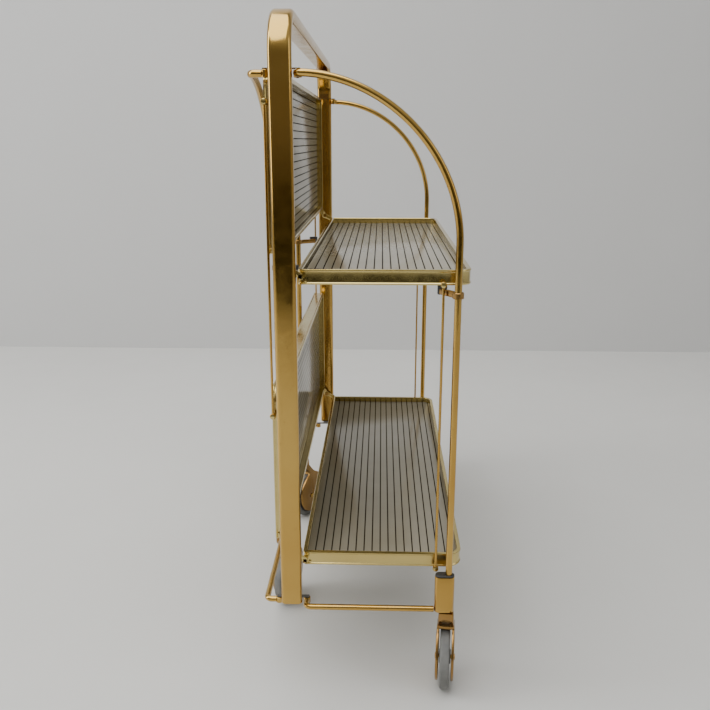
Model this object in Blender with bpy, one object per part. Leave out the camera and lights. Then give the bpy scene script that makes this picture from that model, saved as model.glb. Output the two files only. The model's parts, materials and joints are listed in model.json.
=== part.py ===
"""Folding two-tier serving trolley: one arched main frame, two tiers of paired leaves and four swing gates
on casters. It stands half folded: right side open, left side folded. Metres, +Z up, +X to the open side."""

import math

import bmesh
import bpy
from mathutils import Matrix, Vector

for old in list(bpy.data.objects):
    bpy.data.objects.remove(old, do_unlink=True)

GAP = 0.0003  # fit between two pieces that touch
# The main frame's centre, set so that the whole object, casters as they stand, is centred on X = 0 and Y = 0
FRAME_X = -0.07485
MIDDLE_Y = -0.01213

# Main frame: an arch of flat tube with rounded edges
FRAME_WIDE = 0.0242  # across the arch's plane
FRAME_DEEP = 0.0120  # in the arch's plane
FRAME_WALL = 0.0012
FRAME_EDGE = 0.0050
FRAME_Y = 0.3150  # centre line of each upright
FRAME_TOP = 0.770
FRAME_BOTTOM = 0.1148
FRAME_BEND = 0.047  # outer radius of the two top corners
BEND_STEPS = 10
FRAME_FACE = FRAME_Y - FRAME_DEEP / 2  # inner face of each upright

# Gates: each turns on a vertical axis beside its upright
PIVOT_X = 0.0165
PIVOT_Y = 0.3015
CRANK = 0.0152  # the gate's plane is this far outside its pivot
GATE_Y = PIVOT_Y + CRANK
BOW_R = 0.0039
BOW_TOP = 0.7058
BOW_START = PIVOT_X  # the bow starts at its elbow, level with the pivot
BOW_X = 0.1832  # centre line of the bow's straight leg
BOW_DROP = 0.1679
BOW_POWER = 1.031  # 1 would make the curve a quarter of an ellipse
BOW_END = 0.1285
BOW_STEPS = 14
ROD_R = 0.0035
ROD_Z = 0.1096
EYE_R = 0.0042
PIN_R = 0.0015
PIN_HOLE = 0.0018
HEAD_R = 0.0030  # riveted head of a pin
PIN_OUT = 0.0005  # a gate's pin shows this much beyond its eye
TONGUE_T = 0.0012
TONGUE_EDGE = 0.0026  # of a bracket's tongue beyond the gates' pivots
TONGUE_FAR = PIVOT_Y + TONGUE_EDGE
BRACKET_HALF = 0.0070
BRACKET_UP = 0.0090

# Caster block at the foot of each bow
BLOCK_HALF = 0.0115
BLOCK_R = 0.0060
BLOCK_BOTTOM = 0.1078
BLOCK_TOP = 0.1535
CAP_TOP = 0.1555
BLOCK_X = BOW_X - 0.0045

# Casters
WHEEL_R = 0.0373
TYRE_IN = 0.0298
TYRE_HALF = 0.0059
HUB_HALF = 0.0070
TREAD_HALF = 0.0052  # of the wheel under its tyre
WEB_HALF = 0.0030
AXLE_R = 0.0025
AXLE_HEAD_R = 0.0040
TRAIL = 0.0122
STEM_X = BOW_X - 0.0015
STEM_R = 0.0038
HOOD_IN = 0.0412  # radius of the wheel's slot in the fork
HOOD_HALF = 0.0110
HOOD_SLOT = 0.0077
NECK_HALF = 0.0088  # the fork narrows to this under the block
NECK_TOP = BLOCK_BOTTOM - 0.0010
# The fork from the side, from its front foot over the top to its back foot: (forward of the hub, above it)
FORK_SIDE = (
    (0.0190, -0.0215),
    (0.0270, -0.0100),
    (0.0295, 0.0020),
    (0.0280, 0.0140),
    (0.0225, 0.0250),
    (0.0130, 0.0360),
    (0.0020, 0.0430),
    (0.0180, 0.0590),
    (0.0190, NECK_TOP - WHEEL_R),
    (0.0045, NECK_TOP - WHEEL_R),
    (0.0035, 0.0590),
    (-0.0080, 0.0440),
    (-0.0190, 0.0390),
    (-0.0280, 0.0320),
    (-0.0320, 0.0200),
    (-0.0300, 0.0020),
    (-0.0270, -0.0100),
    (-0.0190, -0.0215),
    (-0.0070, -0.0275),
    (0.0070, -0.0275),
)

# Leaves: two tiers, one leaf each side of the frame
AXIS_Z = (0.1735, 0.5103)
TIERS = ("lower", "upper")
LEAF_IN = 0.0120
LEAF_OUT = 0.1999
LEAF_Y = 0.2970
LEAF_DROP = 0.003  # rim top below the hinge axis
RIM_H = 0.0168
RIM_WALL = 0.0020
LIP = 0.0050
LEDGE = 0.0090
CORNER_OUT = 0.018
CORNER_IN = 0.004
BOSS_X = (0.0128, 0.0180)  # the boss between a rim's end and its hinge ear
EAR_R = 0.0045
EAR_OPEN = (0.3042, 0.3062)  # where an open leaf's ears lie along the pin
EAR_FOLDED = (0.3010, 0.3030)
PANEL_DOWN = 0.0095
PANEL_T = 0.0040
FOLD = math.radians(90)
SHARP = math.radians(40)  # edges at least this sharp are shaded sharp

# Link rods between the tiers
LINK_X = 0.1687
LINK_DROP = 0.0180  # stud below the hinge axis
LINK_R = 0.0020
LINK_EYE = 0.0035
LINK_Y = (0.3025, 0.3055)

# Support on each gate, whose end comes under the open upper leaf
SUPPORT_LOW = 0.4800
SUPPORT_HIGH = 0.4866
SUPPORT_TIP = (0.1660, -0.2900, 0.4902)
SUPPORT_WIDE = 0.0050
SLEEVE_R = 0.0062


def mesh_object(name, bm):
    mesh = bpy.data.meshes.new(name)
    bmesh.ops.recalc_face_normals(bm, faces=bm.faces)
    bm.to_mesh(mesh)
    bm.free()
    obj = bpy.data.objects.new(name, mesh)
    bpy.context.scene.collection.objects.link(obj)
    return obj


def skin(rings, closed=False):
    """A solid skinned over rings of equally many points. An open row of rings gets two end caps."""
    bm = bmesh.new()
    rows = [[bm.verts.new(p) for p in ring] for ring in rings]
    count = len(rings[0])
    for a, b in zip(rows, rows[1:] + (rows[:1] if closed else [])):
        for i in range(count):
            j = (i + 1) % count
            bm.faces.new((a[i], a[j], b[j], b[i]))
    if not closed:
        bm.faces.new(rows[0][::-1])
        bm.faces.new(rows[-1])
    return mesh_object("tmp", bm)


def box(x0, x1, y0, y1, z0, z1):
    base = [(x0, y0), (x1, y0), (x1, y1), (x0, y1)]
    return skin([[(x, y, z) for x, y in base] for z in (z0, z1)])


def circle(radius, count, turn=0.0):
    return [
        (radius * math.cos(turn + 2 * math.pi * i / count), radius * math.sin(turn + 2 * math.pi * i / count))
        for i in range(count)
    ]


def prism(outline, axis, a, b):
    """An outline extruded from a to b. Its two numbers are (y, z) for X, (x, z) for Y and (x, y) for Z."""
    at = {
        "X": lambda u, v, w: (w, u, v),
        "Y": lambda u, v, w: (u, w, v),
        "Z": lambda u, v, w: (u, v, w),
    }[axis]
    return skin([[at(u, v, w) for u, v in outline] for w in (a, b)])


def cylinder(centre, axis, radius, a, b, count=12):
    outline = [(u + centre[0], v + centre[1]) for u, v in circle(radius, count, math.pi / count)]
    return prism(outline, axis, a, b)


def rod_between(start, end, radius, count=10):
    start, end = Vector(start), Vector(end)
    turn = (end - start).to_track_quat("Z", "Y").to_matrix()
    ring = [turn @ Vector((u, v, 0)) for u, v in circle(radius, count)]
    return skin([[at + p for p in ring] for at in (start, end)])


def ball(centre, radius, around=10, up=6):
    bm = bmesh.new()
    bmesh.ops.create_uvsphere(bm, u_segments=around, v_segments=up, radius=radius)
    bmesh.ops.translate(bm, verts=bm.verts, vec=centre)
    return mesh_object("tmp", bm)


def lathe(profile, count):
    """A closed profile of (x, radius) turned once about the X axis."""
    rings = []
    for i in range(count):
        angle = 2 * math.pi * i / count
        rings.append([(x, r * math.cos(angle), r * math.sin(angle)) for x, r in profile])
    return skin(rings, closed=True)


def bar_between(start, end, width, z0, z1):
    """A flat bar from one point to another in plan."""
    start, end = Vector(start), Vector(end)
    side = (end - start).orthogonal().normalized() * width / 2
    return prism([start - side, end - side, end + side, start + side], "Z", z0, z1)


def combine(base, joined=(), cut=()):
    """Unions and differences with helper solids, baked into the base's mesh. The helpers are removed."""
    for others, operation in ((joined, "UNION"), (cut, "DIFFERENCE")):
        for other in others:
            modifier = base.modifiers.new("boolean", "BOOLEAN")
            modifier.operation, modifier.solver, modifier.object = operation, "EXACT", other
    graph = bpy.context.evaluated_depsgraph_get()
    mesh = bpy.data.meshes.new_from_object(base.evaluated_get(graph))
    base.modifiers.clear()
    base.data = mesh
    for other in (*joined, *cut):
        bpy.data.objects.remove(other, do_unlink=True)
    return base


def material(kind, name):
    colour, metallic, roughness, alpha = kind
    made = bpy.data.materials.new(name)
    made.use_nodes = True
    shader = made.node_tree.nodes["Principled BSDF"]
    shader.inputs["Base Color"].default_value = (*colour, 1)
    shader.inputs["Metallic"].default_value = metallic
    shader.inputs["Roughness"].default_value = roughness
    shader.inputs["Alpha"].default_value = alpha
    made.diffuse_color = (*colour, alpha)
    return made


GOLD = ((0.72, 0.50, 0.17), 1.0, 0.2, 1.0)
PALE_GOLD = ((0.83, 0.68, 0.33), 1.0, 0.25, 1.0)
BRONZE = ((0.45, 0.22, 0.06), 1.0, 0.3, 1.0)
SMOKE = ((0.16, 0.14, 0.11), 0.0, 0.08, 1.0)
DARK = ((0.05, 0.05, 0.05), 0.0, 0.5, 1.0)
TYRE = ((0.30, 0.30, 0.31), 0.0, 0.7, 1.0)


def place(obj, name, kind, origin, matrix=Matrix()):
    """Moves a solid by a matrix, into the row's frame, and gives it its name, material and origin."""
    whole = Matrix.Translation((FRAME_X, MIDDLE_Y, 0)) @ matrix
    obj.data.transform(whole)
    if whole.determinant() < 0:
        obj.data.flip_normals()
    centre = whole @ Vector(origin)
    obj.data.transform(Matrix.Translation(-centre))
    obj.location = centre
    obj.name = obj.data.name = name
    obj.data.materials.clear()
    obj.data.materials.append(material(kind, name))
    obj.data.shade_smooth()
    obj.data.set_sharp_from_angle(angle=SHARP)
    return obj


def tube_section(wall, steps):
    """The flat tube's section, inset by wall: across the arch's plane, then in it."""
    points = []
    half_x, half_y, radius = FRAME_WIDE / 2 - wall, FRAME_DEEP / 2 - wall, FRAME_EDGE - wall
    for i, (sx, sy) in enumerate(((1, 1), (-1, 1), (-1, -1), (1, -1))):
        for k in range(steps + 1):
            angle = math.radians(90 * i + 90 * k / steps)
            cx, cy = sx * (half_x - radius), sy * (half_y - radius)
            points.append((cx + radius * math.cos(angle), cy + radius * math.sin(angle)))
    return points


def arch(wall, steps, bottom):
    """The flat tube's outer or inner skin as a solid, swept up, over and down."""
    bend = FRAME_BEND - FRAME_DEEP / 2
    top = FRAME_TOP - FRAME_DEEP / 2
    path = [(-FRAME_Y, bottom, 0.0)]
    for i in range(BEND_STEPS + 1):
        turn = math.radians(90 * i / BEND_STEPS)
        path.append((-FRAME_Y + bend - bend * math.cos(turn), top - bend + bend * math.sin(turn), turn))
    path += [(-y, z, math.pi - turn) for y, z, turn in path[::-1]]
    rings = []
    for y, z, turn in path:
        # The section's second number points outward, square to the path.
        out = (-math.cos(turn), math.sin(turn))
        rings.append([(u, y + v * out[0], z + v * out[1]) for u, v in tube_section(wall, steps)])
    return skin(rings)


def make_frame():
    bore = arch(FRAME_WALL, 2, FRAME_BOTTOM - 0.01)
    place(combine(arch(0, 4, FRAME_BOTTOM), cut=[bore]), "main_frame", GOLD, (0, 0, 0))


def mirror(sx, sy):
    return Matrix.Diagonal((sx, sy, 1, 1))


def bow_point(turn):
    """A point of the bow's curve and the curve's slope there, from its crown (0) to its leg (a quarter turn)."""
    sin, cos = math.sin(turn), max(math.cos(turn), 0.0)
    reach = BOW_X - BOW_START
    x, z = BOW_START + reach * sin**BOW_POWER, BOW_TOP - BOW_DROP * (1 - cos**BOW_POWER)
    slope = math.atan2(BOW_DROP * sin * cos ** (BOW_POWER - 1), reach * cos * sin ** (BOW_POWER - 1) + 1e-9)
    return x, z, slope


def bracket(low, high, pin_end):
    """A flat tongue on the upright's inner side, reaching past both gates' pivots, and the two pins it carries."""
    reach = PIVOT_X + TONGUE_EDGE
    parts = [box(-reach, reach, -TONGUE_FAR, -PIVOT_Y + TONGUE_EDGE, low, high)]
    for sx in (1, -1):
        parts.append(cylinder((sx * PIVOT_X, -PIVOT_Y), "Z", PIN_R, pin_end, (low + high) / 2, 12))
    return parts


def make_top_bracket(end, sy):
    """Fixed on the upright's inner face above both gates' eyes: their upper pins hang from it."""
    face = -FRAME_FACE + GAP
    low = BOW_TOP + BOW_R + GAP
    body = box(-BRACKET_HALF, BRACKET_HALF, face, face + TONGUE_T, low, low + BRACKET_UP)
    parts = bracket(low, low + TONGUE_T, BOW_TOP - BOW_R - PIN_OUT)
    parts.append(box(-BRACKET_HALF, BRACKET_HALF, face, -PIVOT_Y, low, low + TONGUE_T))
    place(combine(body, parts), f"top_bracket_{end}", BRONZE, (0, -PIVOT_Y, BOW_TOP), mirror(1, -sy))


def make_foot(end, sy):
    """A plug in the upright's open end, whose tongue carries the lower pins of both gates."""
    section = [(x, y - FRAME_Y) for x, y in tube_section(FRAME_WALL + GAP, 2)]
    low, high = ROD_Z + ROD_R + GAP, FRAME_BOTTOM - GAP
    plug = prism(section, "Z", (low + high) / 2, FRAME_BOTTOM + 0.018)
    parts = bracket(low, high, ROD_Z - ROD_R - PIN_OUT)
    parts.append(box(-BRACKET_HALF, BRACKET_HALF, -FRAME_Y, -PIVOT_Y, low + 0.0001, high - 0.0001))
    place(combine(plug, parts), f"foot_{end}", DARK, (0, -FRAME_Y, FRAME_BOTTOM), mirror(1, -sy))


def make_leaf_pin(tier, end, sy, z):
    """A short pin on the upright's inner face: both leaves of a tier turn on it."""
    face = -FRAME_FACE + GAP
    body = cylinder((0, z), "Y", PIN_R, face, -0.2992, 12)
    parts = [
        cylinder((0, z), "Y", EAR_R, face, face + 0.0011, 12),
        cylinder((0, z), "Y", HEAD_R, -0.3006, -0.2990, 12),
    ]
    place(combine(body, parts), f"leaf_pin_{tier}_{end}", BRONZE, (0, -PIVOT_Y, z), mirror(1, -sy))


def leaf_outline(inset):
    """The leaf's outline in plan, inset from its edge: round corners outside, small ones by the hinge."""
    points = []
    corners = (
        (LEAF_OUT, LEAF_Y, CORNER_OUT, 0, 6),
        (LEAF_IN, LEAF_Y, CORNER_IN, 90, 2),
        (LEAF_IN, -LEAF_Y, CORNER_IN, 180, 2),
        (LEAF_OUT, -LEAF_Y, CORNER_OUT, 270, 6),
    )
    for x, y, radius, start, steps in corners:
        sx = 1 if x == LEAF_OUT else -1
        sy = 1 if y > 0 else -1
        r = max(radius - inset, 0.0005)
        cx, cy = x - sx * (inset + r), y - sy * (inset + r)
        for k in range(steps + 1):
            angle = math.radians(start + 90 * k / steps)
            points.append((cx + r * math.cos(angle), cy + r * math.sin(angle)))
    return points


def make_leaf(tier, side, sx, z):
    """One leaf: a rim with ledge, hinge ears and link studs, and the panel lying on its ledge."""
    top = z - LEAF_DROP
    section = (
        (0, 0.0010),
        (0.0010, 0),
        (LIP, 0),
        (LIP, 0.0015),
        (RIM_WALL, 0.0015),
        (RIM_WALL, 0.0138),
        (LEDGE, 0.0138),
        (LEDGE, 0.0154),
        (RIM_WALL, 0.0154),
        (RIM_WALL, RIM_H),
        (0, RIM_H),
    )
    outlines = [[(x, y, top - down) for x, y in leaf_outline(inset)] for inset, down in section]
    rim = skin(outlines, closed=True)
    # The two leaves' ears sit side by side on the pin, the open one's outside.
    ear0, ear1 = EAR_OPEN if side == "right" else EAR_FOLDED
    joined, cut = [], []
    for sy in (1, -1):
        ys = sorted((sy * ear0, sy * ear1))
        ear = [(BOSS_X[1], top - 0.0105), (BOSS_X[1], top - 0.0040)]
        for k in range(7):
            angle = math.radians(80 + 190 * k / 6)
            ear.append((EAR_R * math.cos(angle), z + EAR_R * math.sin(angle)))
        joined.append(prism(ear, "Y", *ys))
        inner = sorted((sy * (LEAF_Y - 0.001), sy * ear1))
        joined.append(box(BOSS_X[0], BOSS_X[1] - 0.0001, *inner, top - 0.0100, top - 0.0045))
        stud = (LINK_X, z - LINK_DROP)
        joined.append(cylinder(stud, "Y", PIN_R, *sorted((sy * (LEAF_Y - 0.001), sy * 0.3068)), 12))
        joined.append(cylinder(stud, "Y", HEAD_R, *sorted((sy * (LINK_Y[1] + 0.0004), sy * 0.3074)), 12))
        cut.append(cylinder((0, z), "Y", PIN_HOLE, *sorted((sy * 0.298, sy * 0.309)), 12))
    rim = combine(rim, joined, cut)
    panel = prism(leaf_outline(RIM_WALL + GAP), "Z", top - PANEL_DOWN - PANEL_T, top - PANEL_DOWN)
    turn = Matrix.Rotation(FOLD if side == "left" else 0, 4, "Y")
    move = Matrix.Translation((0, 0, z)) @ turn @ Matrix.Translation((0, 0, -z)) @ mirror(sx, 1)
    place(rim, f"leaf_{tier}_{side}_rim", PALE_GOLD, (0, 0, z), move)
    place(panel, f"leaf_{tier}_{side}_panel", SMOKE, (0, 0, z), move)


def make_link(end, sy, side, sx):
    """The rod at one end of one side, which keeps the two leaves parallel."""
    x, drop = (LINK_X, -LINK_DROP) if side == "right" else (LINK_DROP, LINK_X)
    low, high = (axis + drop for axis in AXIS_Z)
    y0, y1 = sorted((sy * LINK_Y[0], sy * LINK_Y[1]))
    middle = (y0 + y1) / 2
    rod = rod_between((x, middle, low + 0.002), (x, middle, high - 0.002), LINK_R / 1.34, 10)
    eyes = [cylinder((x, z), "Y", LINK_EYE, y0, y1, 14) for z in (low, high)]
    holes = [cylinder((x, z), "Y", PIN_HOLE, y0 - 0.001, y1 + 0.001, 12) for z in (low, high)]
    place(combine(rod, eyes, holes), f"link_{end}_{side}", GOLD, (x, middle, high), mirror(sx, 1))


def gate_matrix(side, sx, sy):
    """From the near right gate, open, to this one: mirrored, and swung in if it is on the left."""
    flip = mirror(sx, -sy)
    if side == "right":
        return flip
    at = Vector((sx * PIVOT_X, sy * PIVOT_Y, 0))
    turn = Matrix.Rotation(sx * sy * -FOLD, 4, "Z")
    return Matrix.Translation(at) @ turn @ Matrix.Translation(-at) @ flip


def crank(z, radius):
    """The round arm from a gate's eye out to its plane: the pieces to join, and the hole for the pin."""
    pivot = Vector((PIVOT_X, -PIVOT_Y, z))
    elbow = Vector((PIVOT_X, -GATE_Y, z))
    along = (elbow - pivot).normalized()
    # The arm starts beside the pin, so that its end cap stays inside the eye.
    parts = [rod_between(pivot + along * EYE_R * 0.6, elbow, radius), ball(elbow, radius * 1.012)]
    parts.append(cylinder((PIVOT_X, -PIVOT_Y), "Z", EYE_R, z - radius, z + radius, 16))
    return parts, cylinder((PIVOT_X, -PIVOT_Y), "Z", PIN_HOLE, z - 0.01, z + 0.01, 12)


def make_bow(name, matrix):
    rings = []
    for i in range(BOW_STEPS + 1):
        rings.append(bow_point(math.pi / 2 * i / BOW_STEPS))
    rings.append((BOW_X, BOW_END, math.pi / 2))
    body = skin(
        [
            [(x + u * math.sin(slope), -GATE_Y + v, z + u * math.cos(slope)) for u, v in circle(BOW_R, 10)]
            for x, z, slope in rings
        ]
    )
    parts, hole = crank(BOW_TOP, BOW_R)
    place(combine(body, parts, [hole]), name, GOLD, (PIVOT_X, -PIVOT_Y, BOW_TOP), matrix)


def make_bottom_rod(name, matrix):
    body = rod_between((PIVOT_X, -GATE_Y, ROD_Z), (BLOCK_X - BLOCK_HALF - GAP, -GATE_Y, ROD_Z), ROD_R)
    parts, hole = crank(ROD_Z, ROD_R)
    place(combine(body, parts, [hole]), name, GOLD, (PIVOT_X, -PIVOT_Y, ROD_Z), matrix)


def oval(half, radius):
    points = []
    for centre, start in ((half - radius, -90), (radius - half, 90)):
        for k in range(7):
            angle = math.radians(start + 180 * k / 6)
            points.append((BLOCK_X + centre + radius * math.cos(angle), -GATE_Y + radius * math.sin(angle)))
    return points


def make_block(name, matrix):
    axis = (BOW_X, -GATE_Y)
    body = prism(oval(BLOCK_HALF, BLOCK_R), "Z", BLOCK_BOTTOM, BLOCK_TOP)
    holes = [
        cylinder(axis, "Z", BOW_R + GAP, BOW_END - GAP, BLOCK_TOP + 0.001, 16),
        cylinder((STEM_X, -GATE_Y), "Z", STEM_R + GAP, BLOCK_BOTTOM - 0.001, BLOCK_BOTTOM + 0.017, 16),
    ]
    place(combine(body, cut=holes), f"{name}_block", GOLD, (PIVOT_X, -PIVOT_Y, BLOCK_BOTTOM), matrix)
    cap = prism(oval(BLOCK_HALF - 0.0004, BLOCK_R - 0.0004), "Z", BLOCK_TOP + GAP, CAP_TOP)
    hole = cylinder(axis, "Z", BOW_R + GAP, BLOCK_TOP - 0.001, CAP_TOP + 0.001, 16)
    place(combine(cap, cut=[hole]), f"{name}_cap", DARK, (PIVOT_X, -PIVOT_Y, CAP_TOP), matrix)


def make_support(name, matrix):
    """A sleeve on the bow's leg with a slanting arm, which is raised where it comes under the upper leaf."""
    axis = (BOW_X, -GATE_Y)
    body = cylinder(axis, "Z", SLEEVE_R, SUPPORT_LOW, SUPPORT_HIGH, 16)
    start, tip = Vector(axis), Vector(SUPPORT_TIP[:2])
    joined = [
        bar_between(start, tip, SUPPORT_WIDE, SUPPORT_LOW, SUPPORT_HIGH),
        bar_between(start.lerp(tip, 0.66), tip, SUPPORT_WIDE - 0.0002, SUPPORT_LOW + 0.001, SUPPORT_TIP[2]),
        cylinder(tip, "Z", SUPPORT_WIDE * 0.6, SUPPORT_LOW - 0.0004, SUPPORT_TIP[2] - 0.0004, 12),
    ]
    hole = cylinder(axis, "Z", BOW_R + GAP, SUPPORT_LOW - 0.001, SUPPORT_HIGH + 0.001, 16)
    place(combine(body, joined, [hole]), name, BRONZE, (PIVOT_X, -PIVOT_Y, SUPPORT_HIGH), matrix)


def make_caster(name, matrix, swivel):
    """Modelled with its stem on the Z axis, trailing toward -Y, then turned and set under its block."""
    at = matrix @ Matrix.Translation((STEM_X, -GATE_Y, 0))
    # Only the place of the stem is taken from the gate: the swivel angle is the caster's own.
    move = Matrix.Translation(at.to_translation()) @ Matrix.Rotation(swivel, 4, "Z")
    body = prism([(y - TRAIL, z + WHEEL_R) for y, z in FORK_SIDE], "X", -HOOD_HALF, HOOD_HALF)
    slot = [(y - TRAIL, z + WHEEL_R) for y, z in circle(HOOD_IN, 28)]
    stem = cylinder((0, 0), "Z", STEM_R, BLOCK_BOTTOM - 0.004, BLOCK_BOTTOM + 0.0160, 12)
    cut = [prism(slot, "X", -HOOD_SLOT, HOOD_SLOT)]
    cut.append(cylinder((-TRAIL, WHEEL_R), "X", AXLE_R + GAP, -0.02, 0.02, 12))
    for sx in (1, -1):
        wide, high = sx * 0.02, NECK_TOP + 0.001
        taper = ((NECK_HALF * sx, high), (NECK_HALF * sx, NECK_TOP - 0.004), (sx * (HOOD_HALF + 0.0001), 0.0720))
        cut.append(prism([*taper, (wide, 0.0720), (wide, high)], "Y", -0.06, 0.03))
    body = combine(combine(body, cut=cut), [stem])
    place(body, f"{name}_fork", BRONZE, (0, 0, BLOCK_BOTTOM), move)
    hub = (0, -TRAIL, WHEEL_R)
    to_hub = Matrix.Translation(hub)
    wheel = lathe(
        (
            (-HUB_HALF, 0.0029),
            (HUB_HALF, 0.0029),
            (HUB_HALF, 0.0090),
            (WEB_HALF, 0.0110),
            (WEB_HALF, 0.0240),
            (TREAD_HALF, 0.0255),
            (TREAD_HALF, TYRE_IN - GAP),
            (-TREAD_HALF, TYRE_IN - GAP),
            (-TREAD_HALF, 0.0255),
            (-WEB_HALF, 0.0240),
            (-WEB_HALF, 0.0110),
            (-HUB_HALF, 0.0090),
        ),
        22,
    )
    half, crown = TYRE_HALF, WHEEL_R
    tyre = lathe(
        (
            (-half, TYRE_IN),
            (half, TYRE_IN),
            (half, crown - 0.0030),
            (half * 0.85, crown - 0.0010),
            (half * 0.45, crown),
            (-half * 0.45, crown),
            (-half * 0.85, crown - 0.0010),
            (-half, crown - 0.0030),
        ),
        32,
    )
    axle = cylinder((0, 0), "X", AXLE_R, -HOOD_HALF - 0.0010, HOOD_HALF + 0.0010, 12)
    heads = []
    for sx in (1, -1):
        heads.append(cylinder((0, 0), "X", AXLE_HEAD_R, *sorted((sx * (HOOD_HALF + GAP), sx * (HOOD_HALF + 0.0013))), 12))
    for obj, part, kind in ((wheel, "wheel", DARK), (tyre, "tyre", TYRE), (combine(axle, heads), "axle", GOLD)):
        place(obj, f"{name}_{part}", kind, (0, 0, 0), move @ to_hub)


SWIVEL = {
    ("near", "right"): math.radians(174),
    ("far", "right"): math.radians(180),
    ("near", "left"): math.radians(163),
    ("far", "left"): math.radians(148),
}

make_frame()
for side, sx in (("right", 1), ("left", -1)):
    for tier, axis_z in zip(TIERS, AXIS_Z):
        make_leaf(tier, side, sx, axis_z)
for end, sy in (("near", -1), ("far", 1)):
    make_top_bracket(end, sy)
    make_foot(end, sy)
    for tier, axis_z in zip(TIERS, AXIS_Z):
        make_leaf_pin(tier, end, sy, axis_z)
    for side, sx in (("right", 1), ("left", -1)):
        make_link(end, sy, side, sx)
        gate = gate_matrix(side, sx, sy)
        make_bow(f"gate_{end}_{side}_bow", gate)
        make_bottom_rod(f"gate_{end}_{side}_rod", gate)
        make_block(f"gate_{end}_{side}", gate)
        make_support(f"gate_{end}_{side}_support", gate)
        make_caster(f"caster_{end}_{side}", gate, SWIVEL[end, side])
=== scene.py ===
import json
import math

import bmesh
import bpy
from mathutils import Matrix, Vector

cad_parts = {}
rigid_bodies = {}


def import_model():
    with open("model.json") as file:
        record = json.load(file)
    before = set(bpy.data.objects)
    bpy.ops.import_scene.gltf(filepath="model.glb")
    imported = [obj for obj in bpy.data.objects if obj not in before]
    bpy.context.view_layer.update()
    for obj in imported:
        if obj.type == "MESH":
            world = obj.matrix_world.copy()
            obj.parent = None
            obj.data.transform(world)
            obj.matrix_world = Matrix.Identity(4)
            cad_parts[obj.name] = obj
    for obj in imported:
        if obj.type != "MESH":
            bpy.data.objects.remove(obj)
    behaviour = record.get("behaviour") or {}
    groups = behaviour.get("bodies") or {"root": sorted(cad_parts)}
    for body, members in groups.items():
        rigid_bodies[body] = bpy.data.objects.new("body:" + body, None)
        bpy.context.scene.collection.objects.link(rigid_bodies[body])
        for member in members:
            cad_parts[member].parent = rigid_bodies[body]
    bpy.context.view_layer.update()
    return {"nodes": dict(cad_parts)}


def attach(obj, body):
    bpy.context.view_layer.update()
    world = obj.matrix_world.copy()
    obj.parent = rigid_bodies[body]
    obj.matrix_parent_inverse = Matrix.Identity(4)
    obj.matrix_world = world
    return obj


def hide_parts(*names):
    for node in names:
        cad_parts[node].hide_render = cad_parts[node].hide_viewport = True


for old in list(bpy.data.objects):
    bpy.data.objects.remove(old, do_unlink=True)

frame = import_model()

# ---------------------------------------------------------------- camera
# Seen from in front of the near upright, a little above the upper tier and to the open side.
cam_data = bpy.data.cameras.new("camera")
cam_data.sensor_width = 36.0
cam_data.lens = 40.25
cam_data.clip_start = 0.02
camera = bpy.data.objects.new("camera", cam_data)
camera.location = (0.0268, -1.1541, 0.6408)
camera.rotation_euler = (math.radians(74.88), 0.0, math.radians(1.886))
bpy.context.scene.collection.objects.link(camera)
bpy.context.scene.camera = camera

# ---------------------------------------------------------------- sizes, the same as the CAD model's
GAP = 0.0003
FRAME_X, MIDDLE_Y = -0.07485, -0.01213
FRAME_WIDE, FRAME_DEEP, FRAME_WALL, FRAME_EDGE, FRAME_Y = 0.0242, 0.0120, 0.0012, 0.0050, 0.3150
FRAME_TOP, FRAME_BOTTOM, FRAME_BEND = 0.770, 0.1148, 0.047
PIVOT_X, PIVOT_Y, CRANK = 0.0165, 0.3015, 0.0152
GATE_Y = PIVOT_Y + CRANK
BOW_R, BOW_TOP, BOW_X, BOW_DROP, BOW_END, BOW_POWER = 0.0039, 0.7058, 0.1832, 0.1679, 0.1285, 1.031
ROD_R, ROD_Z = 0.0035, 0.1096
EYE_R, PIN_HOLE = 0.0042, 0.0018
BLOCK_HALF, BLOCK_R, BLOCK_BOTTOM, BLOCK_TOP, CAP_TOP = 0.0115, 0.0060, 0.1078, 0.1535, 0.1555
BLOCK_X = BOW_X - 0.0045
WHEEL_R, TYRE_IN, TYRE_HALF = 0.0373, 0.0298, 0.0059
HUB_HALF, TREAD_HALF, WEB_HALF = 0.0070, 0.0052, 0.0030
TRAIL, STEM_X, STEM_R = 0.0122, BOW_X - 0.0015, 0.0038
HOOD_IN, HOOD_HALF, HOOD_SLOT, NECK_HALF, NECK_TOP = 0.0412, 0.0110, 0.0077, 0.0088, BLOCK_BOTTOM - 0.0010
AXIS_Z = {"lower": 0.1735, "upper": 0.5103}
LEAF_IN, LEAF_OUT, LEAF_Y, LEAF_DROP = 0.0120, 0.1999, 0.2970, 0.003
RIM_H, CORNER_OUT, CORNER_IN = 0.0168, 0.018, 0.004
BOSS_X, EAR_R, EAR_OPEN, EAR_FOLDED = (0.0128, 0.0180), 0.0045, (0.3042, 0.3062), (0.3010, 0.3030)
PANEL_DOWN, PANEL_T = 0.0095, 0.0040
LINK_X, LINK_DROP, LINK_EYE, LINK_Y = 0.1687, 0.0180, 0.0035, (0.3025, 0.3055)
LINK_R, LINK_START = 0.0015, 0.0022  # the rod starts this far from the middle of its eye
SUPPORT_LOW, SUPPORT_HIGH, SUPPORT_TIP, SUPPORT_WIDE = 0.4800, 0.4866, (0.1660, -0.2900, 0.4902), 0.0050
BEND_R = 0.0060  # of the elbows in the gates' rods
ROD_END_SHARE = 0.88  # a rod's end face, as a share of its thickness
SLEEVE_R, PIN_R, HEAD_R, RIVET_R = 0.0062, 0.0015, 0.0030, 0.0016
AXLE_R, AXLE_HEAD_R, AXLE_OUT, BORE_R = 0.0025, 0.0040, 0.0010, 0.0029
WHEEL_HOLES, WHEEL_HOLE_AT, WHEEL_HOLE_R = 5, 0.0170, 0.0036
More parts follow.
